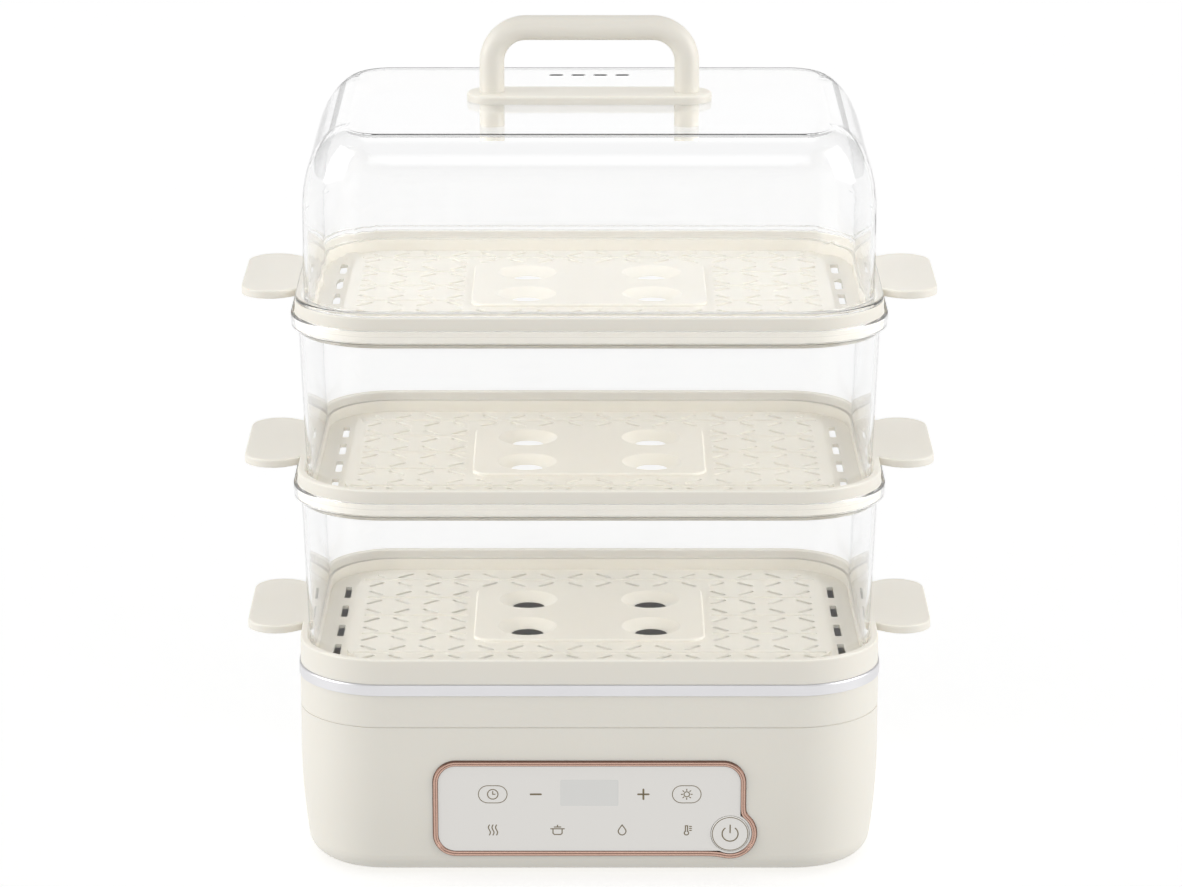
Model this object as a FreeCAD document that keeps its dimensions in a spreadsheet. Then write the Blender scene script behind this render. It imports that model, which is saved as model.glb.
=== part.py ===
"""Three-tier rectangular egg cooker and food steamer, as a parametric assembly.

Frame: millimetres, +Z up, +X to the cooker's right, front towards -Y.
The origin is the bottom centre of the whole object, on the table under its feet.
"""

import FreeCAD
import Part
import Sketcher

import math
import os
import re

Vector = FreeCAD.Vector
Constraint = Sketcher.Constraint

# ---------------------------------------------------------------- driving sizes

SIZES = {
    # base housing
    "body_width": 300.5,
    "body_depth": 200.5,
    "corner_radius": 45,
    "shell_wall": 2.8,
    "foot_height": 1.5,
    "belly_height": 60,
    "belly_radius": 340,
    "bottom_radius": 12,
    "cover_thickness": 2.5,
    "cover_inset": 16.5,
    "lip_thickness": 2.5,
    "lip_width": 16,
    "screw_place_across": 126,
    "screw_place_deep": 60,
    "screw_radius": 2,
    "foot_place_across": 105,
    "foot_place_deep": 58,
    "foot_radius": 9,
    "foot_stud_radius": 3,
    "post_place_across": 56,
    "post_place_deep": 36,
    "post_radius": 3.5,
    "air_slot_pitch": 8,
    "air_slot_first": 40,
    "air_slot_length": 30,
    "air_slot_width": 3,
    "seam_height": 82.5,
    "seam_gap": 0.5,
    "trim_top": 100,
    "spigot_depth": 6,
    "spigot_wall": 2,
    "fit_gap": 0.1,
    # water pan
    "pan_top": 106,
    "pan_sheet": 1,
    "pan_proud": 0.6,
    "pan_rim_width": 8.5,
    "pan_gap": 0.3,
    "pan_edge": 1.2,
    "pan_floor": 48,
    "pan_corner": 12,
    "spreader_thickness": 3,
    "spreader_radius": 62,
    "element_radius": 48,
    "element_tube": 3.4,
    "sensor_radius": 6,
    "sensor_height": 6,
    "bridge_span": 60,
    "bridge_width": 10,
    "bridge_sheet": 1,
    # power board
    "board_height": 12,
    "board_width": 124,
    "board_depth": 84,
    "board_thickness": 1.6,
    "lead_radius": 1.3,
    "lead_bend": 4,
    "lead_pitch": 7,
    "terminal_across": 42,
    "terminal_deep": 22,
    "terminal_height": 12,
    "ribbon_thickness": 1,
    "ribbon_width": 20,
    # trays
    "tier_pitch": 90,
    "tray_height": 13,
    "tray_inset": 0.2,
    "tray_rim": 4,
    "ledge_depth": 4.5,
    "ledge_width": 3.8,
    "floor_depth": 7.5,
    "floor_thickness": 2.5,
    "floor_half_width": 126,
    "floor_half_depth": 78,
    "floor_corner": 24,
    "gutter_depth": 10.5,
    "gutter_thickness": 2,
    "skirt_depth": 3,
    "skirt_inset": 9.2,
    "skirt_wall": 1.6,
    "wing_reach": 179.2,
    "wing_thickness": 4.4,
    "wing_corner": 15,
    "wing_half_edge": 27,
    "wing_root": 147,
    "wing_half_root": 33,
    "slit_pitch_across": 15.35,
    "slit_pitch_deep": 15.8,
    "slit_length": 11.2,
    "slit_width": 2.6,
    "slit_angle": 43,
    "groove_width": 2.4,
    "groove_depth": 0.5,
    "side_slot_place": 131.5,
    "side_slot_pitch": 33.4,
    "side_slot_width": 3.8,
    "side_slot_length": 20,
    "plateau_width": 121,
    "plateau_depth": 92,
    "plateau_rise": 1.6,
    "plateau_edge": 1,
    "cup_place_across": 32.5,
    "cup_place_deep": 23.5,
    "cup_radius": 15.5,
    "cup_hole_radius": 8.5,
    "cup_depth": 4.4,
    "cup_wall": 1.8,
    # clear walls
    "wall_thickness": 1.9,
    "wall_top_inset": 2,
    "wall_foot_inset": 5.2,
    "collar_overhang": 1.9,
    "collar_height": 6.3,
    "collar_clearance": 0.3,
    "collar_edge": 0.7,
    "collar_shoulder": 3.2,
    "bead_height": 2.7,
    "bead_proud": 0.35,
    # lid
    "lid_inset": 4.8,
    "lid_corner": 40,
    "lid_wall": 2,
    "lid_top": 390,
    "lid_skirt": 4,
    "lid_flange_thickness": 2.2,
    "lid_flange_edge": 0.8,
    "shoulder_across": 25,
    "shoulder_down": 45,
    "brow_radius": 10,
    "vent_length": 7.5,
    "vent_width": 3.6,
    "vent_pitch": 11.6,
    "vent_place": 65,
    # handle
    "grip_width": 113,
    "grip_diameter": 12.8,
    "grip_top": 434,
    "grip_bend": 17.5,
    "plate_length": 126,
    "plate_width": 27,
    "plate_thickness": 4.4,
    "boss_drop": 13,
    "boss_radius": 6.4,
    "boss_hole_radius": 4,
    "seal_thickness": 0.8,
    # control panel, in the panel's own tilted frame
    "panel_height": 38.5,
    "panel_setback": 0.7,
    "panel_tilt": 3.6,
    "panel_width": 161.5,
    "panel_tall": 53,
    "panel_corner": 12,
    "bezel_width": 2.9,
    "bezel_proud": 0.7,
    "bezel_edge": 0.6,
    "bezel_depth": 3.6,
    "face_thickness": 1.6,
    "bulge_across": 72.6,
    "bulge_down": 13.9,
    "bulge_radius": 14,
    "button_radius": 9.8,
    "button_gap": 0.3,
    "button_proud": 0.4,
    "collar_thickness": 0.8,
    "collar_width": 0.8,
    "window_width": 30,
    "window_tall": 14.6,
    "window_up": 8.9,
    "frame_setback": 4.4,
    "frame_lap": 1,
    "board_setback": 5.6,
    "panel_board_thickness": 1.2,
    "hole_reach": 20,
    "key_spring_radius": 3.2,
    "key_spring_wall": 0.6,
    "upper_key_outer": 50,
    "upper_key_inner": 28,
    "upper_key_up": 8,
    "lower_key_pitch": 33.3,
    "lower_key_down": 12.2,
    # inlet at the back
    "inlet_across": 95,
    "inlet_height": 33,
    "inlet_setback": 0.85,
    "inlet_tilt": 4,
    "inlet_width": 27.6,
    "inlet_tall": 20,
    "inlet_depth": 22,
    "inlet_flange": 1.4,
    "inlet_wall": 2,
    "blade_spread": 7,
    "blade_width": 2,
    "blade_tall": 4,
}

doc = FreeCAD.newDocument("EggCooker")
sheet = doc.addObject("Spreadsheet::Sheet", "Sizes")
for row, (alias, number) in enumerate(SIZES.items(), start=1):
    sheet.set(f"A{row}", alias)
    sheet.set(f"B{row}", str(number))
    sheet.setAlias(f"B{row}", alias)
doc.recompute()

WORD = re.compile(r"[a-z][a-z_]*")


def ref(expression):
    """Write an expression of sheet aliases the way the document reads it."""
    return WORD.sub(lambda w: "Sizes." + w.group() if w.group() in SIZES else w.group(), str(expression))


def value(expression):
    """The number that an expression of sheet aliases comes to now."""
    result = sheet.evalExpression(ref(expression))
    return float(getattr(result, "Value", result))


def bind(target, **properties):
    """Bind properties of an object to expressions; a double underscore stands for a dot."""
    for name, expression in properties.items():
        target.setExpression(name.replace("__", "."), ref(expression))
    return target


# ---------------------------------------------------------------- sketches

SUB_PARTS = []


def new_body(label, lift="0"):
    """A PartDesign body for one sub-part, lifted along Z by an expression."""
    body = doc.addObject("PartDesign::Body", label)
    body.Label = label
    bind(body, Placement__Base__z=lift)
    SUB_PARTS.append(body)
    return body


def new_sketch(body, name, role="XY_Plane", offset="0"):
    """A sketch on one of the body's own origin planes, moved along the plane's normal."""
    sketch = body.newObject("Sketcher::SketchObject", name)
    plane = [feature for feature in body.Origin.OriginFeatures if feature.Role == role][0]
    sketch.AttachmentSupport = [(plane, "")]
    sketch.MapMode = "FlatFace"
    bind(sketch, AttachmentOffset__Base__z=offset)
    return sketch


def fix_size(sketch, kind, *where, expression):
    """Add a dimension to a sketch and bind it to an expression."""
    index = sketch.addConstraint(Constraint(kind, *where, value(expression)))
    sketch.setExpression(f"Constraints[{index}]", ref(expression))


def rounded_rectangle(sketch, width, depth, radius, across="0", up="0"):
    """A rectangle with four equal round corners, centred on (across, up)."""
    half_width = value(width) / 2
    half_depth = value(depth) / 2
    corner = value(radius)
    x, y = value(across), value(up)
    inner_x = half_width - corner
    inner_y = half_depth - corner
    lines = [
        ((half_width, -inner_y), (half_width, inner_y)),
        ((inner_x, half_depth), (-inner_x, half_depth)),
        ((-half_width, inner_y), (-half_width, -inner_y)),
        ((-inner_x, -half_depth), (inner_x, -half_depth)),
    ]
    centres = [(inner_x, inner_y), (-inner_x, inner_y), (-inner_x, -inner_y), (inner_x, -inner_y)]
    ids = []
    for quarter, ((start, end), centre) in enumerate(zip(lines, centres)):
        line = Part.LineSegment(Vector(start[0] + x, start[1] + y, 0), Vector(end[0] + x, end[1] + y, 0))
        ids.append(sketch.addGeometry(line))
        circle = Part.Circle(Vector(centre[0] + x, centre[1] + y, 0), Vector(0, 0, 1), corner)
        turn = math.radians(90 * quarter)
        ids.append(sketch.addGeometry(Part.ArcOfCircle(circle, turn, turn + math.pi / 2)))
    for here, there in zip(ids, ids[1:] + ids[:1]):
        sketch.addConstraint(Constraint("Tangent", here, 2, there, 1))
    for line, direction in zip(ids[::2], ("Vertical", "Horizontal", "Vertical", "Horizontal")):
        sketch.addConstraint(Constraint(direction, line))
    sketch.addConstraint(Constraint("Equal", ids[1], ids[3]))
    sketch.addConstraint(Constraint("Equal", ids[1], ids[5]))
    fix_size(sketch, "DistanceX", ids[4], 1, ids[0], 1, expression=width)
    fix_size(sketch, "DistanceY", ids[6], 1, ids[2], 1, expression=depth)
    fix_size(sketch, "DistanceX", -1, 1, ids[0], 1, expression=f"({across}) + ({width}) / 2")
    fix_size(sketch, "DistanceY", -1, 1, ids[2], 1, expression=f"({up}) + ({depth}) / 2")
    fix_size(sketch, "Radius", ids[1], expression=radius)
    return sketch


def circle(sketch, radius, across="0", up="0"):
    """A circle placed by its centre."""
    centre = Vector(value(across), value(up), 0)
    index = sketch.addGeometry(Part.Circle(centre, Vector(0, 0, 1), value(radius)))
    fix_size(sketch, "DistanceX", -1, 1, index, 3, expression=across)
    fix_size(sketch, "DistanceY", -1, 1, index, 3, expression=up)
    fix_size(sketch, "Radius", index, expression=radius)
    return sketch


def outline(sketch, points, arcs=None):
    """A closed outline through points; an edge named in arcs is round, as (centre x, centre y, radius)."""
    arcs = arcs or {}
    count = len(points)
    spots = [Vector(value(x), value(y), 0) for x, y in points]
    ids = []
    flipped = set()
    for index in range(count):
        start, end = spots[index], spots[(index + 1) % count]
        if index not in arcs:
            ids.append(sketch.addGeometry(Part.LineSegment(start, end)))
            continue
        centre_x, centre_y, radius = arcs[index]
        centre = Vector(value(centre_x), value(centre_y), 0)
        turn = Part.Circle(centre, Vector(0, 0, 1), value(radius))
        first = math.atan2(start.y - centre.y, start.x - centre.x)
        last = math.atan2(end.y - centre.y, end.x - centre.x)
        if math.remainder(last - first, 2 * math.pi) < 0:
            first, last = last, first
            flipped.add(index)
        ids.append(sketch.addGeometry(Part.ArcOfCircle(turn, first, last)))
    for index in range(count):
        after = (index + 1) % count
        tail = 1 if index in flipped else 2
        head = 2 if after in flipped else 1
        sketch.addConstraint(Constraint("Coincident", ids[index], tail, ids[after], head))
        own_head = 2 if index in flipped else 1
        fix_size(sketch, "DistanceX", -1, 1, ids[index], own_head, expression=points[index][0])
        fix_size(sketch, "DistanceY", -1, 1, ids[index], own_head, expression=points[index][1])
    for index, (_, _, radius) in arcs.items():
        fix_size(sketch, "Radius", ids[index], expression=radius)
    return sketch


# ---------------------------------------------------------------- features

def extrude(body, kind, sketch, length, reverse=False, middle=False):
    """A Pad or Pocket of a sketch by a bound length."""
    feature = body.newObject("PartDesign::" + kind, sketch.Name + kind)
    feature.Profile = sketch
    bind(feature, Length=length)
    feature.Reversed = reverse
    feature.Midplane = middle
    return feature


def slab(body, name, bottom, top, *rectangles):
    """Pad one or more nested rounded rectangles from one height to another."""
    sketch = new_sketch(body, name, offset=bottom)
    for rectangle in rectangles:
        rounded_rectangle(sketch, *rectangle)
    return extrude(body, "Pad", sketch, f"({top}) - ({bottom})")


def hollow(body, name, bottom, top, *rectangles):
    """Cut one or more rounded rectangles from one height to another."""
    sketch = new_sketch(body, name, offset=top)
    for rectangle in rectangles:
        rounded_rectangle(sketch, *rectangle)
    return extrude(body, "Pocket", sketch, f"({top}) - ({bottom})")


def plan(inset):
    """The width, depth and corner radius of the housing's plan, drawn in by an inset."""
    return (f"body_width - 2 * ({inset})", f"body_depth - 2 * ({inset})", f"corner_radius - ({inset})")


def sweep_round(body, points, arcs=None):
    """Sweep a wall section, drawn in the XZ plane, once round the housing's plan."""
    path = new_sketch(body, body.Name + "_path")
    rounded_rectangle(path, "body_width", "body_depth", "corner_radius")
    section = new_sketch(body, body.Name + "_section", "XZ_Plane")
    outline(section, points, arcs)
    pipe = body.newObject("PartDesign::AdditivePipe", body.Name + "_sweep")
    pipe.Profile = section
    pipe.Spine = (path, [])
    return pipe


def round_edges(body, radius, wanted):
    """Fillet the edges of the body's last feature that a test accepts."""
    doc.recompute()
    base = body.Tip
    names = [f"Edge{index}" for index, edge in enumerate(base.Shape.Edges, start=1) if wanted(edge)]
    fillet = body.newObject("PartDesign::Fillet", body.Name + "_rounding")
    fillet.Base = (base, names)
    bind(fillet, Radius=radius)
    return fillet


def repeat(body, feature, across=None, deep=None, mirror=False):
    """Repeat a cut in rows: across and deep are (count, pitch), and mirror copies it to the other side."""
    steps = []
    for axis, row in (("X_Axis", across), ("Y_Axis", deep)):
        if row is None:
            continue
        count, pitch = row
        pattern = doc.addObject("PartDesign::LinearPattern", f"{feature.Name}_{axis[0]}_row")
        line = [item for item in body.Origin.OriginFeatures if item.Role == axis][0]
        pattern.Direction = (line, [""])
        pattern.Occurrences = count
        bind(pattern, Length=f"{count - 1} * ({pitch})")
        steps.append(pattern)
    if mirror:
        mirrored = doc.addObject("PartDesign::Mirrored", f"{feature.Name}_mirrored")
        plane = [item for item in body.Origin.OriginFeatures if item.Role == "YZ_Plane"][0]
        mirrored.MirrorPlane = (plane, [""])
        steps.append(mirrored)
    pattern = body.newObject("PartDesign::MultiTransform", f"{feature.Name}_pattern")
    pattern.Originals = [feature]
    pattern.Transformations = steps
    body.Tip = pattern
    return pattern


def level(edge, height):
    """True for an edge that lies flat at a height given by an expression."""
    box = edge.BoundBox
    return abs(box.ZMin - value(height)) < 1e-3 and abs(box.ZMax - value(height)) < 1e-3


def place(target, across="0", deep="0", up="0"):
    """Bind the place of a Part object."""
    return bind(target, Placement__Base__x=across, Placement__Base__y=deep, Placement__Base__z=up)


def box(label, across, deep, up, width, depth, tall):
    """A box placed by the centre of its underside."""
    solid = doc.addObject("Part::Box", label)
    solid.Label = label
    bind(solid, Length=width, Width=depth, Height=tall)
    return place(solid, f"({across}) - ({width}) / 2", f"({deep}) - ({depth}) / 2", up)


def cylinder(label, across, deep, up, radius, tall):
    """An upright cylinder placed by the centre of its underside."""
    solid = doc.addObject("Part::Cylinder", label)
    solid.Label = label
    bind(solid, Radius=radius, Height=tall)
    return place(solid, across, deep, up)


def keep(solid):
    """Count a Part object as a sub-part of the assembly."""
    SUB_PARTS.append(solid)
    return solid


def join(label, pieces, kind="Part::MultiFuse"):
    """Join Part objects into one sub-part."""
    joined = doc.addObject(kind, label)
    joined.Label = label
    if kind == "Part::MultiFuse":
        joined.Shapes = pieces
    else:
        joined.Links = pieces
    return keep(joined)


def group(label, pieces):
    """Identical separate pieces as one sub-part."""
    return join(label, pieces, "Part::Compound")


def cut(label, base, tool):
    """One Part object less another."""
    result = doc.addObject("Part::Cut", label)
    result.Label = label
    result.Base = base
    result.Tool = tool
    return result


# ---------------------------------------------------------------- base housing

HALF = "body_width / 2"
BELLY_X = f"{HALF} - belly_radius"
BOTTOM_Z = "foot_height + bottom_radius"
BOTTOM_RUN = "belly_radius - bottom_radius"
BOTTOM_DROP = f"(belly_height - ({BOTTOM_Z}))"
BOTTOM_X = f"{BELLY_X} + sqrt(({BOTTOM_RUN}) ^ 2 - {BOTTOM_DROP} ^ 2)"
LIP_BOTTOM = "foot_height + cover_thickness"
LIP_TOP = "foot_height + cover_thickness + lip_thickness"


def corners(across, deep):
    """Four places mirrored about both axes, as expressions."""
    return [(f"{sign_x} * {across}", f"{sign_y} * {deep}") for sign_x in (-1, 1) for sign_y in (-1, 1)]


FOOT_PLACES = corners("foot_place_across", "foot_place_deep")
SCREW_PLACES = corners("screw_place_across", "screw_place_deep")


def belly_point(radius):
    """Where a belly arc of this radius meets the arc of the bottom edge."""
    stretch = f"({radius}) / ({BOTTOM_RUN})"
    x = f"{BELLY_X} + sqrt(({BOTTOM_RUN}) ^ 2 - {BOTTOM_DROP} ^ 2) * {stretch}"
    z = f"belly_height - {BOTTOM_DROP} * {stretch}"
    return x, z


def panel_outline(sketch, inset="0"):
    """The rectangle of the control panel, drawn in by an inset."""
    width = f"panel_width - 2 * ({inset})"
    tall = f"panel_tall - 2 * ({inset})"
    return rounded_rectangle(sketch, width, tall, f"panel_corner - ({inset})")


# how far forward of the centre, how high and how tilted the two fitted faces of the housing lie
FRONT_SLOPE = ("body_depth / 2 - panel_setback", "panel_height", "panel_tilt")
BACK_SLOPE = ("inlet_setback - body_depth / 2", "inlet_height", "-inlet_tilt")


def tilt(target, forward, height, angle):
    """Move a sub-part from an upright frame of its own to a sloping face of the housing."""
    target.Placement = FreeCAD.Placement(Vector(), FreeCAD.Rotation(Vector(1, 0, 0), value(angle)))
    return place(target, "0", f"-({forward})", height)


def sloping_sketch(body, name, forward, height, angle):
    """A sketch lying in a sloping face of the housing."""
    sketch = new_sketch(body, name, "XZ_Plane")
    sketch.AttachmentOffset = FreeCAD.Placement(Vector(), FreeCAD.Rotation(Vector(1, 0, 0), value(angle)))
    return bind(sketch, AttachmentOffset__Base__z=forward, AttachmentOffset__Base__y=height)


def base_shell():
    """The lower housing: one thin wall swept round the plan, with the panel's and the inlet's holes."""
    body = new_body("base_shell")
    inner = "belly_radius - shell_wall"
    inner_bottom = "bottom_radius - shell_wall"
    lip_meets = f"{BOTTOM_X} + sqrt(({inner_bottom}) ^ 2 - ({BOTTOM_Z} - ({LIP_TOP})) ^ 2)"
    points = [
        (HALF, "seam_height"),
        (HALF, "belly_height"),
        belly_point("belly_radius"),
        (BOTTOM_X, "foot_height"),
        (f"{HALF} - cover_inset", "foot_height"),
        (f"{HALF} - cover_inset", LIP_BOTTOM),
        (f"{HALF} - cover_inset - lip_width", LIP_BOTTOM),
        (f"{HALF} - cover_inset - lip_width", LIP_TOP),
        (lip_meets, LIP_TOP),
        belly_point(inner),
        (f"{HALF} - shell_wall", "belly_height"),
        (f"{HALF} - shell_wall", "seam_height"),
    ]
    arcs = {
        1: (BELLY_X, "belly_height", "belly_radius"),
        2: (BOTTOM_X, BOTTOM_Z, "bottom_radius"),
        8: (BOTTOM_X, BOTTOM_Z, inner_bottom),
        9: (BELLY_X, "belly_height", inner),
    }
    sweep_round(body, points, arcs)
    panel_hole = panel_outline(sloping_sketch(body, "panel_hole", *FRONT_SLOPE))
    extrude(body, "Pocket", panel_hole, "hole_reach", middle=True)
    bulge_hole = sloping_sketch(body, "bulge_hole", *FRONT_SLOPE)
    circle(bulge_hole, "bulge_radius", "bulge_across", "-bulge_down")
    extrude(body, "Pocket", bulge_hole, "hole_reach", middle=True)
    inlet_hole = sloping_sketch(body, "inlet_hole", *BACK_SLOPE)
    rounded_rectangle(inlet_hole, "inlet_width", "inlet_tall", "2", "inlet_across")
    extrude(body, "Pocket", inlet_hole, "hole_reach", middle=True)
    pilots = new_sketch(body, "pilot_holes", offset=LIP_TOP)
    for across, deep in SCREW_PLACES:
        circle(pilots, "screw_radius", across, deep)
    extrude(body, "Pocket", pilots, "lip_thickness")
    return body


def bottom_cover():
    """The plate screwed into the housing's underside, with air slots, foot holes and board posts."""
    body = new_body("bottom_cover")
    slab(body, "cover_plate", "foot_height", LIP_BOTTOM, plan("cover_inset + fit_gap"))
    holes = new_sketch(body, "fixing_holes", offset=LIP_BOTTOM)
    for across, deep in FOOT_PLACES:
        circle(holes, "foot_stud_radius", across, deep)
    for across, deep in SCREW_PLACES:
        circle(holes, "screw_radius", across, deep)
    extrude(body, "Pocket", holes, "cover_thickness")
    slot = new_sketch(body, "air_slot", offset=LIP_BOTTOM)
    rounded_rectangle(slot, "air_slot_width", "air_slot_length", "air_slot_width / 2 - 0.1", "air_slot_first")
    repeat(body, extrude(body, "Pocket", slot, "cover_thickness"), across=(6, "air_slot_pitch"), mirror=True)
    posts = new_sketch(body, "board_posts", offset=LIP_BOTTOM)
    for across, deep in corners("post_place_across", "post_place_deep"):
        circle(posts, "post_radius", across, deep)
    extrude(body, "Pad", posts, f"board_height - ({LIP_BOTTOM})")


def underside_fixings():
    """Rubber feet pushed into the cover, and the screws that hold the cover to the housing."""
    feet = []
    for index, (across, deep) in enumerate(FOOT_PLACES):
        pad = cylinder(f"foot_pad_{index}", across, deep, "0", "foot_radius", "foot_height")
        stud = cylinder(f"foot_stud_{index}", across, deep, "0", "foot_stud_radius", LIP_BOTTOM)
        foot = doc.addObject("Part::MultiFuse", f"foot_{index}")
        foot.Shapes = [pad, stud]
        feet.append(foot)
    group("rubber_feet", feet)
    long = "cover_thickness + lip_thickness + 2"
    screws = [
        cylinder(f"cover_screw_{index}", across, deep, "foot_height", "screw_radius", long)
        for index, (across, deep) in enumerate(SCREW_PLACES)
    ]
    group("cover_screws", screws)


def upper_trim_ring():
    """The plain upper band of the housing, with the shelf that carries the pan and a shadow gap below."""
    body = new_body("upper_trim_ring")
    shelf_bottom = "trim_top - shell_wall"
    slab(body, "band", "seam_height + seam_gap", "trim_top", plan("0"), plan("shell_wall"))
    slab(body, "seam", "seam_height", "seam_height + seam_gap", plan("seam_gap"), plan("shell_wall"))
    slab(body, "shelf", shelf_bottom, "trim_top", plan("1"), plan("pan_rim_width - pan_sheet - pan_gap"))
    spigot = (plan("shell_wall + fit_gap"), plan("shell_wall + fit_gap + spigot_wall"))
    slab(body, "spigot", "seam_height - spigot_depth", shelf_bottom, *spigot)
    return body


def water_pan():
    """The pressed steel water pan: a turned-down rim over the housing and a deep rounded bowl."""
    body = new_body("water_pan")
    outer = f"{HALF} + pan_proud"
    bowl = f"{HALF} - pan_rim_width"
    corner_x = f"{HALF} - pan_rim_width - pan_corner"
    corner_z = "pan_floor + pan_corner"
    points = [
        (outer, "trim_top"),
        (outer, "pan_top - pan_edge"),
        (f"{outer} - pan_edge", "pan_top"),
        (bowl, "pan_top"),
        (bowl, corner_z),
        (corner_x, "pan_floor"),
        (corner_x, "pan_floor - pan_sheet"),
        (f"{bowl} + pan_sheet", corner_z),
        (f"{bowl} + pan_sheet", "pan_top - pan_sheet"),
        (f"{outer} - pan_sheet", "pan_top - pan_sheet"),
        (f"{outer} - pan_sheet", "trim_top"),
    ]
    arcs = {
        1: (f"{outer} - pan_edge", "pan_top - pan_edge", "pan_edge"),
        4: (corner_x, corner_z, "pan_corner"),
        6: (corner_x, corner_z, "pan_corner + pan_sheet"),
    }
    sweep_round(body, points, arcs)
    inset = "pan_rim_width + pan_corner - 0.5"
    slab(body, "pan_bottom", "pan_floor - pan_sheet", "pan_floor", plan(inset))
    return body


def pan_seal():
    """The silicone ring squeezed between the pan's rim and the shelf."""
    body = new_body("pan_seal")
    slab(body, "seal", "trim_top", "pan_top - pan_sheet", plan("2"), plan("pan_rim_width - 2"))


def heater():
    """What sits under the pan: spreader, sheathed element, thermostat, sensor, its bridge and the fuse."""
    keep(cylinder("heat_spreader", "0", "0", HEATER_UNDERSIDE, "spreader_radius", "spreader_thickness"))
    ring = doc.addObject("Part::Torus", "element_ring")
    bind(ring, Radius1="element_radius", Radius2="element_tube", Angle3="300")
    ring.Placement = FreeCAD.Placement(Vector(), FreeCAD.Rotation(Vector(0, 0, 1), -60))
    place(ring, "0", "0", f"{HEATER_UNDERSIDE} - element_tube")
    pins = [
        cylinder(f"element_pin_{index}", across, ELEMENT_END_DEEP, f"{HEATER_UNDERSIDE} - 13", "2", "9")
        for index, across in enumerate(ELEMENT_END_ACROSS)
    ]
    join("heating_element", [ring] + pins)
    sensor_bottom = f"{HEATER_UNDERSIDE} - sensor_height"
    keep(cylinder("temperature_sensor", "0", "0", sensor_bottom, "sensor_radius", "sensor_height"))
    strip_bottom = f"{sensor_bottom} - bridge_sheet"
    bridge = box("bridge_strip", "0", "0", strip_bottom, "bridge_span", "bridge_width", "bridge_sheet")
    legs = []
    for index, sign in enumerate((-1, 1)):
        across = f"{sign} * (bridge_span - bridge_sheet) / 2"
        size = ("bridge_sheet", "bridge_width", "sensor_height")
        legs.append(box(f"bridge_leg_{index}", across, "0", sensor_bottom, *size))
    join("sensor_bridge", [bridge] + legs)
    keep(cylinder("thermostat", "0", "26", f"{HEATER_UNDERSIDE} - 10", "8", "10"))
    fuse = cylinder("thermal_fuse", "0", "0", "0", "2.2", "18")
    fuse.Placement = FreeCAD.Placement(Vector(), FreeCAD.Rotation(Vector(0, 1, 0), 90))
    keep(place(fuse, "-9", "-24", f"{HEATER_UNDERSIDE} - 2.2"))


PAN_UNDERSIDE = "pan_floor - pan_sheet"
HEATER_UNDERSIDE = f"{PAN_UNDERSIDE} - spreader_thickness"
ELEMENT_END_ACROSS = ("element_radius * 0.5", "-element_radius * 0.5")
ELEMENT_END_DEEP = "-element_radius * sqrt(0.75)"


BOARD_TOP = "board_height + board_thickness"
TERMINAL_TOP = f"{BOARD_TOP} + terminal_height"


def electronics():
    """The power board on its posts and what stands on it."""
    keep(box("power_board", "0", "0", "board_height", "board_width", "board_depth", "board_thickness"))
    keep(box("relay", "-42", "-20", BOARD_TOP, "20", "16", "15"))
    keep(box("film_capacitor", "-36", "18", BOARD_TOP, "18", "8", "13"))
    keep(cylinder("smoothing_capacitor", "-10", "20", BOARD_TOP, "5", "14"))
    keep(box("transformer_core", "14", "14", BOARD_TOP, "22", "18", "16"))
    keep(box("terminal_block", "terminal_across", "terminal_deep", BOARD_TOP, "24", "12", "terminal_height"))


def wire(label, routes):
    """Round leads along routes of points, each corner an arc, as separate solids of one sub-part."""
    radius = value("lead_radius")
    bend = value("lead_bend")
    solids = []
    for route in routes:
        spots = [Vector(*[value(number) for number in spot]) for spot in route]
        edges = []
        start = spots[0]
        for before, corner, after in zip(spots, spots[1:], spots[2:]):
            way_in = (corner - before).normalize()
            way_out = (after - corner).normalize()
            turn = way_in.getAngle(way_out)
            reach = bend * math.tan(turn / 2)
            first = corner - way_in * reach
            last = corner + way_out * reach
            inward = (way_out - way_in).normalize()
            middle = corner + inward * (bend / math.cos(turn / 2) - bend)
            edges.append(Part.LineSegment(start, first).toShape())
            edges.append(Part.Arc(first, middle, last).toShape())
            start = last
        edges.append(Part.LineSegment(start, spots[-1]).toShape())
        path = Part.Wire(edges)
        section = Part.Wire([Part.Circle(spots[0], spots[1] - spots[0], radius).toShape()])
        solids.append(path.makePipeShell([section], True, True))
    feature = doc.addObject("Part::Feature", label)
    feature.Label = label
    feature.Shape = Part.Compound(solids)
    return keep(feature)


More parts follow.
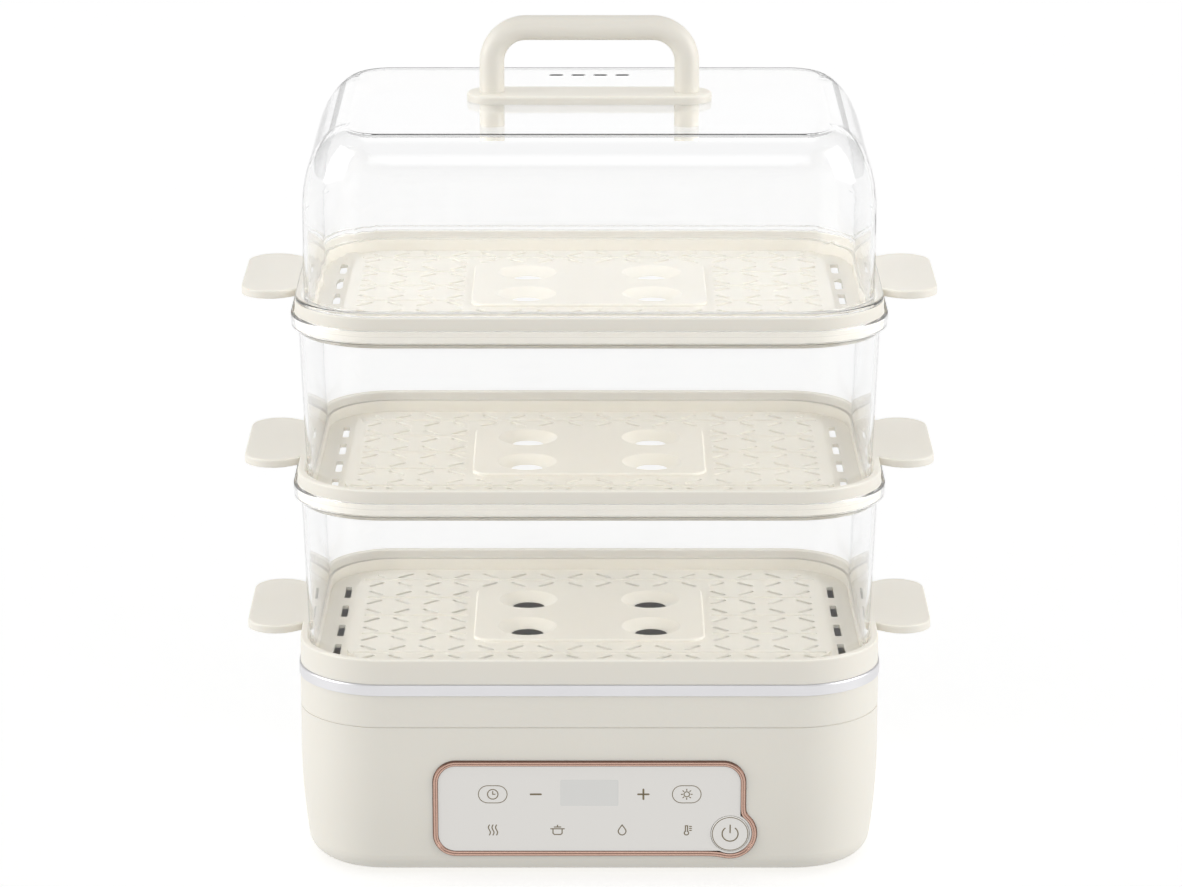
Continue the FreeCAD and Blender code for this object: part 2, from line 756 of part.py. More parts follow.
def leads():
    """The insulated wires from the inlet to the board and from the board to the element, and the ribbon."""
    mains = []
    for step in (-1, 0, 1):
        at_inlet = f"inlet_across + {step} * lead_pitch"
        at_terminal = (f"terminal_across + {step} * lead_pitch", f"terminal_deep + {step} * 3")
        mains.append([
            (at_inlet, "body_depth / 2 - inlet_depth - 2", "inlet_height"),
            (at_inlet, f"50 + {step} * 3", "inlet_height"),
            (*at_terminal, f"{TERMINAL_TOP} + 6"),
            (*at_terminal, TERMINAL_TOP),
        ])
    wire("mains_leads", mains)
    across_right, across_left = ELEMENT_END_ACROSS
    pin_end = f"{HEATER_UNDERSIDE} - 13"
    height = f"{TERMINAL_TOP} - 3.6"
    heating = [
        [
            (across_right, ELEMENT_END_DEEP, pin_end),
            (across_right, ELEMENT_END_DEEP, height),
            ("terminal_across - 2", "4", height),
            ("terminal_across - 2", "terminal_deep - 6", height),
        ],
        [
            (across_left, ELEMENT_END_DEEP, pin_end),
            (across_left, ELEMENT_END_DEEP, height),
            ("-30.5", "-20", height),
        ],
    ]
    wire("heater_leads", heating)
    ribbon = new_body("panel_ribbon")
    side_view = new_sketch(ribbon, "side_view", "YZ_Plane")
    over_board = f"{BOARD_TOP} + ribbon_thickness"
    points = [
        ("-91", "24"),
        ("-91", "24 - ribbon_thickness"),
        ("-60", BOARD_TOP),
        ("-36", BOARD_TOP),
        ("-36", over_board),
        ("-60", over_board),
    ]
    outline(side_view, points)
    extrude(ribbon, "Pad", side_view, "ribbon_width", middle=True)


def control_panel():
    """The panel in the sloping front: bezel, face, window, inner frame, board, display, key springs."""
    bezel = new_body("panel_bezel")
    front_slab(bezel, "bezel_plate", "-bezel_proud", "bezel_depth - bezel_proud", "0", "bulge_radius")
    front_cut(bezel, "bezel_opening", "-bezel_proud", "bezel_depth - bezel_proud", "bezel_width", BULGE_INNER)
    round_edges(bezel, "bezel_edge", lambda edge: edge.BoundBox.YMax < -value("bezel_proud") + 1e-3)
    tilt(bezel, *FRONT_SLOPE)

    face = new_body("panel_face")
    front_slab(face, "face_plate", "0", "face_thickness", "bezel_width", BULGE_INNER)
    window_hole = new_sketch(face, "window_hole", "XZ_Plane", "1")
    rounded_rectangle(window_hole, "window_width", "window_tall", "1", "0", "window_up")
    extrude(face, "Pocket", window_hole, "face_thickness + 2")
    button_hole = new_sketch(face, "button_hole", "XZ_Plane", "1")
    circle(button_hole, "button_radius + button_gap", "bulge_across", "-bulge_down")
    extrude(face, "Pocket", button_hole, "face_thickness + 2")
    tilt(face, *FRONT_SLOPE)

    window = new_body("display_window")
    pane = new_sketch(window, "pane", "XZ_Plane", "-face_thickness")
    rounded_rectangle(pane, "window_width", "window_tall", "1", "0", "window_up")
    extrude(window, "Pad", pane, "face_thickness")
    tilt(window, *FRONT_SLOPE)

    frame = new_body("panel_frame")
    around = ("-frame_lap", "bulge_radius + frame_lap")
    front_slab(frame, "frame_plate", "frame_setback", "board_setback", *around)
    front_cut(frame, "frame_opening", "0", "board_setback", "bezel_width + 3", "bulge_radius - 1")
    tilt(frame, *FRONT_SLOPE)

    board = new_body("control_board")
    board_back = "board_setback + panel_board_thickness"
    front_slab(board, "board_plate", "board_setback", board_back, "2", "bulge_radius - 1")
    tilt(board, *FRONT_SLOPE)

    display = new_body("display_module")
    block = new_sketch(display, "block", "XZ_Plane", "-board_setback")
    rounded_rectangle(block, "window_width - 1", "window_tall - 1", "0.5", "0", "window_up")
    extrude(display, "Pad", block, "board_setback - face_thickness - 0.2")
    tilt(display, *FRONT_SLOPE)

    springs = new_body("touch_springs")
    coils = new_sketch(springs, "coils", "XZ_Plane", "-board_setback")
    for across, up in key_places():
        circle(coils, "key_spring_radius", across, up)
        circle(coils, "key_spring_radius - key_spring_wall", across, up)
    extrude(springs, "Pad", coils, "board_setback - face_thickness")
    tilt(springs, *FRONT_SLOPE)

    switch = new_body("power_switch")
    case = new_sketch(switch, "case", "XZ_Plane", "-board_setback")
    rounded_rectangle(case, "6", "6", "0.5", "bulge_across", "-bulge_down")
    extrude(switch, "Pad", case, "1.4")
    plunger = new_sketch(switch, "plunger", "XZ_Plane", "-board_setback + 1.4")
    circle(plunger, "1.7", "bulge_across", "-bulge_down")
    extrude(switch, "Pad", plunger, "0.6")
    tilt(switch, *FRONT_SLOPE)


BULGE_INNER = "bulge_radius - bezel_width"


def key_places():
    """The touch keys: two pills, minus and plus beside the window, and four along the bottom row."""
    aside = ("-upper_key_outer", "-upper_key_inner", "upper_key_inner", "upper_key_outer")
    upper = [(across, "upper_key_up") for across in aside]
    lower = [(f"{step} * lower_key_pitch", "-lower_key_down") for step in (-1.5, -0.5, 0.5, 1.5)]
    return upper + lower


def front_slab(body, name, front, back, inset, bulge):
    """A plate of the panel's outline between two depths behind the panel's front plane."""
    for part_name, draw in ((name, panel_rectangle(inset)), (name + "_bulge", bulge_circle(bulge))):
        sketch = new_sketch(body, part_name, "XZ_Plane", f"-({back})")
        draw(sketch)
        extrude(body, "Pad", sketch, f"({back}) - ({front})")


def front_cut(body, name, front, back, inset, bulge):
    """The same outline cut away between two depths."""
    for part_name, draw in ((name, panel_rectangle(inset)), (name + "_bulge", bulge_circle(bulge))):
        sketch = new_sketch(body, part_name, "XZ_Plane", f"-({front})")
        draw(sketch)
        extrude(body, "Pocket", sketch, f"({back}) - ({front})")


def panel_rectangle(inset):
    """Draws the panel's rectangle, drawn in by an inset."""
    return lambda sketch: panel_outline(sketch, inset)


def bulge_circle(radius):
    """Draws the round bulge about the power button."""
    return lambda sketch: circle(sketch, radius, "bulge_across", "-bulge_down")


def power_button():
    """The round push cap; its collar stops it against the back of the face."""
    body = new_body("power_button")
    collar_front = "face_thickness + 0.2"
    collar_back = f"{collar_front} + collar_thickness"
    cap = new_sketch(body, "cap", "XZ_Plane", f"-({collar_front})")
    circle(cap, "button_radius", "bulge_across", "-bulge_down")
    extrude(body, "Pad", cap, f"{collar_front} + button_proud")
    round_edges(body, "0.35", lambda edge: abs(edge.BoundBox.YMin + value("button_proud")) < 1e-3)
    collar = new_sketch(body, "collar", "XZ_Plane", f"-({collar_back})")
    circle(collar, "button_radius + collar_width", "bulge_across", "-bulge_down")
    extrude(body, "Pad", collar, "collar_thickness")
    tilt(body, *FRONT_SLOPE)


def inlet():
    """The appliance inlet in the back wall and its three blades."""
    body = new_body("inlet_socket")
    flange = new_sketch(body, "flange", "XZ_Plane", "-inlet_flange")
    rounded_rectangle(flange, "inlet_width + 6", "inlet_tall + 5", "3", "inlet_across")
    extrude(body, "Pad", flange, "inlet_flange")
    shroud = new_sketch(body, "shroud", "XZ_Plane")
    rounded_rectangle(shroud, "inlet_width", "inlet_tall", "2", "inlet_across")
    extrude(body, "Pad", shroud, "inlet_depth")
    well = new_sketch(body, "well", "XZ_Plane", "-inlet_flange")
    inner = ("inlet_width - 2 * inlet_wall", "inlet_tall - 2 * inlet_wall")
    rounded_rectangle(well, *inner, "3", "inlet_across")
    extrude(body, "Pocket", well, "inlet_flange + inlet_depth - 3", reverse=True)
    tilt(body, *BACK_SLOPE)
    blades = new_body("inlet_pins")
    for index, (side, up) in enumerate(((-1, "-1.5"), (1, "-1.5"), (0, "2.5"))):
        blade = new_sketch(blades, f"blade_{index}", "XZ_Plane", "inlet_depth - 3")
        across = f"inlet_across + {side} * blade_spread"
        rounded_rectangle(blade, "blade_width", "blade_tall", "0.6", across, up)
        extrude(blades, "Pad", blade, "inlet_depth - 4", reverse=True)
    tilt(blades, *BACK_SLOPE)


# ---------------------------------------------------------------- tiers


def rim_height(tier):
    """The height of a tray's rim above the table; tiers count from 1."""
    return f"pan_top + tray_height + {tier - 1} * tier_pitch"


PLATEAU_TOP = "-floor_depth + plateau_rise"


def tray():
    """The lowest steaming tray: rim, ledge, slotted floor with egg cups, carrying wings, locating skirt."""
    body = new_body("tray_1", rim_height(1))
    outer = "tray_inset"
    inner = "tray_inset + tray_rim"
    field = f"{inner} + ledge_width"
    underside = "-gutter_depth - gutter_thickness"
    floor = ("2 * floor_half_width", "2 * floor_half_depth", "floor_corner")
    hollow_floor = ("2 * floor_half_width - 6", "2 * floor_half_depth - 6", "floor_corner - 3")
    slab(body, "rim_block", "-tray_height", "0", plan(outer))
    wings(body)
    hollow(body, "rim_recess", "-ledge_depth", "0", plan(inner))
    hollow(body, "gutter_recess", "-gutter_depth", "-ledge_depth", plan(field))
    slab(body, "raised_floor", "-gutter_depth", "-floor_depth", floor)
    hollow(body, "under_recess", "-tray_height", underside, plan("tray_inset + 2.8"))
    hollow(body, "under_floor", underside, "-floor_depth - floor_thickness", hollow_floor)
    skirt = (plan("skirt_inset"), plan("skirt_inset + skirt_wall"))
    slab(body, "skirt", "-tray_height - skirt_depth", underside, *skirt)
    round_edges(body, "1", lambda edge: level(edge, "0"))
    slab(body, "plateau", "-floor_depth", PLATEAU_TOP, ("plateau_width", "plateau_depth", "9"))
    round_edges(body, "plateau_edge", lambda edge: level(edge, PLATEAU_TOP))
    egg_cups(body)
    side_slots(body)
    slit_field(body)
    return body


def wings(body):
    """The two flat carrying tabs, waisted where they leave the rim."""
    sketch = new_sketch(body, "wing_outline", offset="-wing_thickness")
    corner_x = value("wing_reach - wing_corner")
    corner_y = value("wing_half_edge")
    root = Vector(value("wing_root"), value("wing_half_root"), 0)
    centre = Vector(corner_x, corner_y, 0)
    spread = (centre - root).Length
    lean = math.atan2(centre.y - root.y, centre.x - root.x) + math.asin(value("wing_corner") / spread)
    touch = lean + math.pi / 2
    for sign in (1, -1):
        end_x = sign * value("wing_reach")
        ends = (Vector(end_x, -corner_y, 0), Vector(end_x, corner_y, 0))
        edge_id = sketch.addGeometry(Part.LineSegment(*ends))
        flanks = {}
        for half in (1, -1):
            middle = Vector(sign * centre.x, half * centre.y, 0)
            turn = Part.Circle(middle, Vector(0, 0, 1), value("wing_corner"))
            limits = [math.atan2(half * math.sin(angle), sign * math.cos(angle)) for angle in (0, touch)]
            if math.remainder(limits[1] - limits[0], 2 * math.pi) < 0:
                limits.reverse()
            arc = sketch.addGeometry(Part.ArcOfCircle(turn, *limits))
            ends = [sketch.getPoint(arc, end) for end in (1, 2)]
            outer_end = 1 if abs(ends[0].x) > abs(ends[1].x) else 2
            inner_end = 3 - outer_end
            tip = sketch.getPoint(arc, inner_end)
            start = Vector(sign * root.x, half * root.y, 0)
            flank = sketch.addGeometry(Part.LineSegment(start, Vector(tip.x, tip.y, 0)))
            sketch.addConstraint(Constraint("Tangent", edge_id, 2 if half > 0 else 1, arc, outer_end))
            sketch.addConstraint(Constraint("Tangent", flank, 2, arc, inner_end))
            fix_size(sketch, "DistanceX", -1, 1, flank, 1, expression=f"{sign} * wing_root")
            fix_size(sketch, "DistanceY", -1, 1, flank, 1, expression=f"{half} * wing_half_root")
            fix_size(sketch, "Radius", arc, expression="wing_corner")
            fix_size(sketch, "DistanceY", -1, 1, arc, 3, expression=f"{half} * wing_half_edge")
            flanks[half] = flank
        fix_size(sketch, "DistanceX", -1, 1, edge_id, 1, expression=f"{sign} * wing_reach")
        close = Part.LineSegment(Vector(sign * root.x, root.y, 0), Vector(sign * root.x, -root.y, 0))
        close_id = sketch.addGeometry(close)
        sketch.addConstraint(Constraint("Coincident", close_id, 1, flanks[1], 1))
        sketch.addConstraint(Constraint("Coincident", close_id, 2, flanks[-1], 1))
    return extrude(body, "Pad", sketch, "wing_thickness")


def egg_cups(body):
    """Four conical seats that hold an egg by its end, open below."""
    for index, (across, deep) in enumerate(corners("cup_place_across", "cup_place_deep")):
        for kind, wall in (("Additive", "cup_wall"), ("Subtractive", "0")):
            cone = body.newObject(f"PartDesign::{kind}Cone", f"cup_{kind}_{index}")
            bind(
                cone,
                Radius1=f"cup_hole_radius + {wall}",
                Radius2=f"cup_radius + {wall}",
                Height="cup_depth",
                Placement__Base__x=across,
                Placement__Base__y=deep,
                Placement__Base__z=f"{PLATEAU_TOP} - cup_depth",
            )


def side_slots(body):
    """A row of upright drain slots down each side of the floor."""
    sketch = new_sketch(body, "side_slot", offset="-gutter_depth")
    first = "-1.5 * side_slot_pitch"
    rounded_rectangle(sketch, "side_slot_width", "side_slot_length", "1.2", "side_slot_place", first)
    slot = extrude(body, "Pocket", sketch, "gutter_thickness")
    repeat(body, slot, deep=(4, "side_slot_pitch"), mirror=True)


def slit_field(body):
    """The steam slits: a diamond lattice with a slit on every side, left out under the plateau."""
    end_groove = new_sketch(body, "end_groove", offset="-floor_depth")
    across = "16 * slit_pitch_across"
    rounded_rectangle(end_groove, across, "groove_width", "0.5", "0", "-4 * slit_pitch_deep")
    repeat(body, extrude(body, "Pocket", end_groove, "groove_depth"), deep=(2, "8 * slit_pitch_deep"))
    side_groove = new_sketch(body, "side_groove", offset="-floor_depth")
    place_across = "6 * slit_pitch_across"
    rounded_rectangle(
        side_groove, "3.6 * slit_pitch_across", "groove_width", "0.5", place_across, "-2 * slit_pitch_deep")
    groove = extrude(body, "Pocket", side_groove, "groove_depth")
    repeat(body, groove, deep=(3, "2 * slit_pitch_deep"), mirror=True)
    slits = new_sketch(body, "slits", offset="-floor_depth")
    for column in range(-8, 8):
        for row in range(-5, 5):
            if -4 <= column < 4 and -3 <= row < 3:
                continue
            lean = 1 if (column + row) % 2 else -1
            slit(slits, f"({column} + 0.5) * slit_pitch_across", f"({row} + 0.5) * slit_pitch_deep", lean)
    extrude(body, "Pocket", slits, "floor_thickness")


def slit(sketch, across, deep, lean):
    """One slanting slit with round ends."""
    angle = math.radians(value("slit_angle")) * lean
    radius = value("slit_width") / 2
    along = Vector(math.cos(angle), math.sin(angle), 0) * (value("slit_length") / 2 - radius)
    side = Vector(-math.sin(angle), math.cos(angle), 0) * radius
    centre = Vector(value(across), value(deep), 0)
    for way, turn in ((1, angle), (-1, angle + math.pi)):
        end = Part.Circle(centre + along * way, Vector(0, 0, 1), radius)
        edge = -side * way
        sketch.addGeometry(Part.LineSegment(centre - along * way + edge, centre + along * way + edge))
        sketch.addGeometry(Part.ArcOfCircle(end, turn - math.pi / 2, turn + math.pi / 2))


def clear_wall():
    """The lowest clear wall: it stands on a tray's ledge and its collar holds the next tray."""
    body = new_body("clear_wall_1", rim_height(1))
    foot = f"{HALF} - wall_foot_inset"
    top = f"{HALF} - wall_top_inset"
    collar = f"{HALF} + collar_overhang"
    collar_inner = f"{HALF} - tray_inset + collar_clearance"
    step = "tier_pitch - tray_height"
    points = [
        (foot, "-ledge_depth"),
        (top, f"{step} - collar_shoulder"),
        (f"{collar} - bead_proud", step),
        (f"{collar} - bead_proud", f"{step} + collar_height - bead_height"),
        (collar, f"{step} + collar_height - bead_height"),
        (collar, f"{step} + collar_height - collar_edge"),
        (f"{collar} - collar_edge", f"{step} + collar_height"),
        (collar_inner, f"{step} + collar_height"),
        (collar_inner, step),
        (f"{top} - 1", step),
        (f"{top} - wall_thickness", f"{step} - collar_shoulder"),
        (f"{foot} - wall_thickness", "-ledge_depth"),
    ]
    rim_edge = (f"{collar} - collar_edge", f"{step} + collar_height - collar_edge", "collar_edge")
    sweep_round(body, points, {5: rim_edge})
    return body


def next_tier(label, first, tiers_up):
    """The same part again, a whole number of tiers higher."""
    copy = doc.addObject("Part::Compound", label)
    copy.Label = label
    copy.Links = [first]
    return keep(place(copy, up=f"{tiers_up} * tier_pitch"))


# ---------------------------------------------------------------- lid

def solid_plan(inset, corner, bottom, top):
    """A filled block of the housing's plan drawn in by an inset, with a corner radius of its own."""
    half_x = value("body_width") / 2 - inset
    half_y = value("body_depth") / 2 - inset
    edges = []
    for quarter in range(4):
        sign_x = (1, -1, -1, 1)[quarter]
        sign_y = (1, 1, -1, -1)[quarter]
        centre = Vector(sign_x * (half_x - corner), sign_y * (half_y - corner), bottom)
        turn = Part.Circle(centre, Vector(0, 0, 1), corner)
        edges.append(Part.ArcOfCircle(turn, quarter * math.pi / 2, (quarter + 1) * math.pi / 2).toShape())
    sides = []
    for index, edge in enumerate(edges):
        following = edges[(index + 1) % 4]
        sides += [edge, Part.makeLine(edge.Vertexes[-1].Point, following.Vertexes[0].Point)]
    return Part.Face(Part.Wire(sides)).extrude(Vector(0, 0, top - bottom))


def lid_form(name, inset, bottom):
    """The lid's outer or inner form: a column of the lid's plan whose top edges are rounded, far more at
    the sides than at the front and back. It is rounded while squat and then stretched into ovals."""
    across = value("shoulder_across") - inset
    stretch = (value("shoulder_down") - inset) / across
    brow = value("brow_radius") * across / value("shoulder_across")
    tall = (value("lid_top") - inset - bottom) / stretch
    squat = doc.addObject("Part::Feature", f"{name}_column")
    squat.Shape = solid_plan(value("lid_inset") + inset, value("lid_corner") - inset, 0, tall)
    rounded = doc.addObject("Part::Fillet", f"{name}_rounded")
    rounded.Base = squat
    side_x = squat.Shape.BoundBox.XMax
    radii = []
    for index, edge in enumerate(squat.Shape.Edges, start=1):
        if edge.BoundBox.ZMin < tall - 1e-3:
            continue
        ends = [edge.valueAt(edge.FirstParameter), edge.valueAt(edge.LastParameter)]
        first, last = [across if abs(abs(end.x) - side_x) < 1e-3 else brow for end in ends]
        radii.append((index, first, last))
    rounded.Edges = radii
    doc.recompute()
    stretched = FreeCAD.Matrix()
    stretched.scale(1, 1, stretch)
    form = rounded.Shape.transformGeometry(stretched)
    form.translate(Vector(0, 0, bottom))
    return form


def lid_shell():
    """The clear lid: a thin dome with a skirt inside the top tray's rim, a flange on it, and steam vents."""
    wall = value("lid_wall")
    seat = value(rim_height(3))
    bottom = seat - value("lid_skirt")
    outer = lid_form("lid_outer", 0, bottom)
    inner = lid_form("lid_inner", wall, bottom - 1)
    shell = outer.cut(inner)
    flange_top = seat + value("lid_flange_thickness")
    flange = solid_plan(0.4, value("corner_radius") - 0.4, seat, flange_top)
    upper_edges = [edge for edge in flange.Edges if edge.BoundBox.ZMin > flange_top - 1e-3]
    flange = flange.makeFillet(value("lid_flange_edge"), upper_edges)
    inside = value("lid_inset") + wall / 2
    flange = flange.cut(solid_plan(inside, value("corner_radius") - inside, seat - 1, flange_top + 1))
    shell = shell.fuse(flange)
    length = value("vent_length")
    radius = value("vent_width") / 2
    for step in (-1.5, -0.5, 0.5, 1.5):
        centre = Vector(step * value("vent_pitch"), value("vent_place"), value("lid_top") - 10)
        straight = length - 2 * radius
        vent = Part.makeBox(straight, 2 * radius, 20, centre - Vector(straight / 2, radius, 0))
        for sign in (-1, 1):
            end = centre + Vector(sign * (length / 2 - radius), 0, 0)
            vent = vent.fuse(Part.makeCylinder(radius, 20, end))
        shell = shell.cut(vent)
    for sign in (-1, 1):
        hole = Vector(sign * value(LEG_PLACE), 0, value("lid_top") - 10)
        shell = shell.cut(Part.makeCylinder(value("boss_hole_radius"), 20, hole))
    feature = doc.addObject("Part::Feature", "lid_shell")
    feature.Label = "lid_shell"
    feature.Shape = shell
    return keep(feature)


# ---------------------------------------------------------------- handle

LEG_PLACE = "(grip_width - grip_diameter) / 2"
PLATE_TOP = "lid_top + plate_thickness"


def handle():
    """The carrying handle on the lid: bent grip, plate, two bosses inside, their seals and screws."""
    grip = new_body("handle_grip")
    path = new_sketch(grip, "grip_path", "XZ_Plane")
    crown = "grip_top - grip_diameter / 2"
    bend_x = f"{LEG_PLACE} - grip_bend"
    bend_z = f"{crown} - grip_bend"
    arch(path, LEG_PLACE, PLATE_TOP, crown, bend_x, bend_z)
    section = circle(new_sketch(grip, "grip_section", offset=PLATE_TOP), "grip_diameter / 2", LEG_PLACE)
    pipe = grip.newObject("PartDesign::AdditivePipe", "grip_sweep")
    pipe.Profile = section
    pipe.Spine = (path, [])

    plate = new_body("handle_plate")
    slab(plate, "plate", "lid_top", PLATE_TOP, ("plate_length", "plate_width", "plate_width / 2 - 0.1"))
    round_edges(plate, "1.4", lambda edge: level(edge, PLATE_TOP))
    for sign in (-1, 1):
        bore = new_sketch(plate, f"plate_bore_{sign + 1}", offset=PLATE_TOP)
        extrude(plate, "Pocket", circle(bore, "3", f"{sign} * {LEG_PLACE}"), "plate_thickness")

    for name, sign in (("left", -1), ("right", 1)):
        across = f"{sign} * {LEG_PLACE}"
        boss = new_body(f"handle_boss_{name}")
        post = new_sketch(boss, "post", offset="lid_top - lid_wall - boss_drop")
        extrude(boss, "Pad", circle(post, "boss_radius", across), "boss_drop - seal_thickness")
        neck = new_sketch(boss, "neck", offset="lid_top - lid_wall - seal_thickness")
        circle(neck, "boss_hole_radius", across)
        extrude(boss, "Pad", neck, "lid_wall + seal_thickness")
        bore = circle(new_sketch(boss, "bore", offset="lid_top"), "2", across)
        extrude(boss, "Pocket", bore, "lid_wall + boss_drop")
        head = new_sketch(boss, "head_well", offset="lid_top - lid_wall - boss_drop + 3")
        extrude(boss, "Pocket", circle(head, "3.6", across), "3")

    boss_seals()
    screws = []
    for sign in (-1, 1):
        across = f"{sign} * {LEG_PLACE}"
        head_bottom = "lid_top - lid_wall - boss_drop + 0.6"
        head = cylinder(f"screw_head_{sign + 1}", across, "0", head_bottom, "3.4", "2.4")
        shank_length = f"{PLATE_TOP} - ({head_bottom})"
        shank = cylinder(f"screw_shank_{sign + 1}", across, "0", head_bottom, "1.9", shank_length)
        screw = doc.addObject("Part::MultiFuse", f"handle_screw_{sign + 1}")
        screw.Shapes = [head, shank]
        screws.append(screw)
    group("handle_screws", screws)


def boss_seals():
    """The two flat rings squeezed between the lid and the handle's bosses."""
    rings = []
    bottom = "lid_top - lid_wall - seal_thickness"
    for index, sign in enumerate((-1, 1)):
        across = f"{sign} * {LEG_PLACE}"
        disc = cylinder(f"seal_disc_{index}", across, "0", bottom, "boss_radius", "seal_thickness")
        hole = cylinder(f"seal_hole_{index}", across, "0", bottom, "boss_hole_radius", "seal_thickness")
        rings.append(cut(f"seal_ring_{index}", disc, hole))
    group("boss_seals", rings)


def arch(sketch, leg, low, crown, bend_x, bend_z):
    """An upside-down U: up the right leg, over and down the left leg, with round bends."""
    right_x, low_z, top_z = value(leg), value(low), value(crown)
    turn_x, turn_z = value(bend_x), value(bend_z)
    radius = right_x - turn_x
    right = sketch.addGeometry(Part.LineSegment(Vector(right_x, low_z, 0), Vector(right_x, turn_z, 0)))
    bend = Part.Circle(Vector(turn_x, turn_z, 0), Vector(0, 0, 1), radius)
    right_bend = sketch.addGeometry(Part.ArcOfCircle(bend, 0, math.pi / 2))
    over = sketch.addGeometry(Part.LineSegment(Vector(turn_x, top_z, 0), Vector(-turn_x, top_z, 0)))
    bend = Part.Circle(Vector(-turn_x, turn_z, 0), Vector(0, 0, 1), radius)
    left_bend = sketch.addGeometry(Part.ArcOfCircle(bend, math.pi / 2, math.pi))
    left = sketch.addGeometry(Part.LineSegment(Vector(-right_x, turn_z, 0), Vector(-right_x, low_z, 0)))
    chain = [right, right_bend, over, left_bend, left]
    for here, there in zip(chain, chain[1:]):
        sketch.addConstraint(Constraint("Tangent", here, 2, there, 1))
    sketch.addConstraint(Constraint("Vertical", right))
    sketch.addConstraint(Constraint("Horizontal", over))
    sketch.addConstraint(Constraint("Vertical", left))
    sketch.addConstraint(Constraint("Equal", right_bend, left_bend))
    fix_size(sketch, "DistanceX", -1, 1, right, 1, expression=leg)
    fix_size(sketch, "DistanceY", -1, 1, right, 1, expression=low)
    fix_size(sketch, "DistanceX", -1, 1, left, 2, expression=f"-({leg})")
    fix_size(sketch, "DistanceY", -1, 1, left, 2, expression=low)
    fix_size(sketch, "DistanceY", -1, 1, over, 1, expression=crown)
    fix_size(sketch, "Radius", right_bend, expression="grip_bend")


# ---------------------------------------------------------------- assembly

def check_document():
    """Stop if any feature failed or any sub-part has no sound solid."""
    doc.recompute()
    for item in doc.Objects:
        if "Invalid" in item.State or "Error" in item.State:
            raise RuntimeError(f"{item.Name} did not compute: {item.State}")
    for part in SUB_PARTS:
        if part.Shape.isNull() or not part.Shape.isValid() or not part.Shape.Solids:
            raise RuntimeError(f"{part.Label} has no valid solid")


def write_parts():
    """Write each sub-part's shape under its own name."""
    os.makedirs("parts", exist_ok=True)
    for part in SUB_PARTS:
        part.Shape.exportStep(f"parts/{part.Label}.step")


base_shell()
bottom_cover()
underside_fixings()
upper_trim_ring()
water_pan()
pan_seal()
heater()
electronics()
leads()
control_panel()
power_button()
inlet()
first_tray = tray()
first_wall = clear_wall()
next_tier("tray_2", first_tray, 1)
next_tier("tray_3", first_tray, 2)
next_tier("clear_wall_2", first_wall, 1)
lid_shell()
handle()
check_document()
write_parts()
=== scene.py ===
"""Looks for the three-tier egg cooker: plastics, steel, rose gold trim, key icons, studio and camera.

Metres, in the frame of the CAD model: +Z up, front towards -Y, origin on the table under the cooker.
"""

import math

import bmesh
import bpy
from mathutils import Matrix, Vector


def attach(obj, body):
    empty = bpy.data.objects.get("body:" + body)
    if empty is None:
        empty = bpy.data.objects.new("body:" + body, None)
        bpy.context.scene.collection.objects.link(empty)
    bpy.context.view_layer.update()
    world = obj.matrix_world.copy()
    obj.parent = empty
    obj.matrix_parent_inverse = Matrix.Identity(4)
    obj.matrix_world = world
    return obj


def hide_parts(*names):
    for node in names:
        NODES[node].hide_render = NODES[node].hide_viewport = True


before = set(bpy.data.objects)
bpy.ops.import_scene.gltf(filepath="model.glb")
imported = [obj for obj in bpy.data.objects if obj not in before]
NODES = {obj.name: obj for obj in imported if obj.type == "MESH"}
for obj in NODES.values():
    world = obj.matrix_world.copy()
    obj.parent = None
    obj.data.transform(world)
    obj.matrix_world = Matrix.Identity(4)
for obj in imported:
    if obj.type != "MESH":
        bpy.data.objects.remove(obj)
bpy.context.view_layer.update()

MM = 0.001


# ---------------------------------------------------------------- camera and studio

CAMERA_DISTANCE = 2.5
CAMERA_ELEVATION = math.radians(15.6)
CAMERA_LENS = 144.85
AIM = Vector((0, 0, 0.206))
FRAME_SHIFT = 0.0014

WORLD_STRENGTH = 0.58
SIDE_POWER = 36
FRONT_POWER = 12
TOP_POWER = 6
LOW_TOP_POWER = 10
BACK_POWER = 8
FLOOR_GLOW = 0.46
FLOOR_REACH = 15


def make_camera():
    """A long lens, a little above the lid, looking straight at the front."""
    data = bpy.data.cameras.new("camera")
    data.lens = CAMERA_LENS
    data.sensor_width = 36
    data.shift_x = FRAME_SHIFT
    data.clip_end = 100
    camera = bpy.data.objects.new("camera", data)
    away = Vector((0, -math.cos(CAMERA_ELEVATION), math.sin(CAMERA_ELEVATION)))
    camera.location = AIM + away * CAMERA_DISTANCE
    camera.rotation_euler = (math.pi / 2 - CAMERA_ELEVATION, 0, 0)
    bpy.context.scene.collection.objects.link(camera)
    bpy.context.scene.camera = camera


def area_light(name, place, target, size, power):
    """A softbox at a place, turned to a target."""
    data = bpy.data.lights.new(name, "AREA")
    data.shape = "RECTANGLE"
    data.size, data.size_y = size
    data.energy = power
    light = bpy.data.objects.new(name, data)
    light.location = place
    light.rotation_euler = (Vector(target) - Vector(place)).to_track_quat("-Z", "Y").to_euler()
    bpy.context.scene.collection.objects.link(light)


